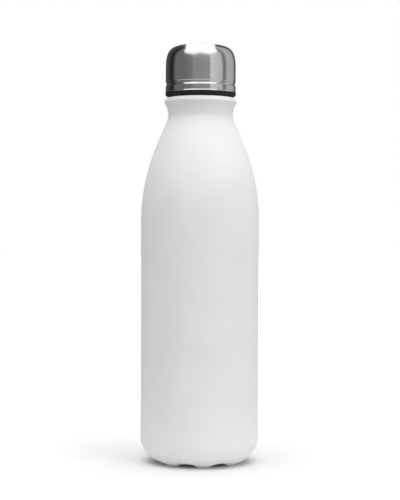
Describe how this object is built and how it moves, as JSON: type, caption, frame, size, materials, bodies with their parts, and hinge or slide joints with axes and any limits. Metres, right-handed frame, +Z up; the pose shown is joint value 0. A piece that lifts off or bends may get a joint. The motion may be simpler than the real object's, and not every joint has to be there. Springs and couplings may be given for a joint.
{
  "type": "insulated water bottle",
  "caption": "Slim vacuum-insulated bottle with a sloping shoulder, a flared lip, a scalloped base and a domed steel screw cap.",
  "frame": {"origin": "on the bottle's axis, at the height of the feet of its base, which is the surface that it stands on", "axes": "+Z up along the bottle's axis, from the base to the cap; -Y is the front; the screw thread is right-hand about +Z"},
  "size_m": [0.073, 0.073, 0.2572],
  "materials": {
    "powder_coat": "matte",
    "brushed_steel": "satin",
    "drawn_steel": "satin",
    "black_plastic": "satin",
    "grey_plastic": "matte",
    "white_foam": "matte",
    "black_silicone": "matte",
    "pale_rubber": "matte",
    "copper_foil": "polished",
    "getter_metal": "matte",
    "solder_glass": "gloss"
  },
  "bodies": {
    "bottle": {"outer_shell": "powder_coat", "outer_base": "powder_coat", "base_disc": "pale_rubber", "seal_bead": "solder_glass", "getter_pan": "drawn_steel", "getter_pellet": "getter_metal", "inner_liner": "drawn_steel", "liner_base": "drawn_steel", "liner_foil": "copper_foil"},
    "gasket": {"cap_gasket": "black_silicone"},
    "cap": {"cap_shell": "brushed_steel", "cap_dome": "grey_plastic", "cap_foam": "white_foam", "cap_core": "black_plastic", "plug_foam": "white_foam"}
  },
  "joints": [
    {"name": "cap_rise", "type": "slide", "parent": "bottle", "child": "gasket", "axis": [0, 0, 1], "range_m": [0, 0.0281]},
    {"name": "cap_turn", "type": "hinge", "parent": "gasket", "child": "cap", "pos_m": [0, 0, 0.2251], "axis": [0, 0, 1], "range_deg": [0, 1260]}
  ],
  "couplings": [
    {"joint": "cap_rise", "follows": "cap_turn", "m_per_rad": 0.0012732}
  ]
}
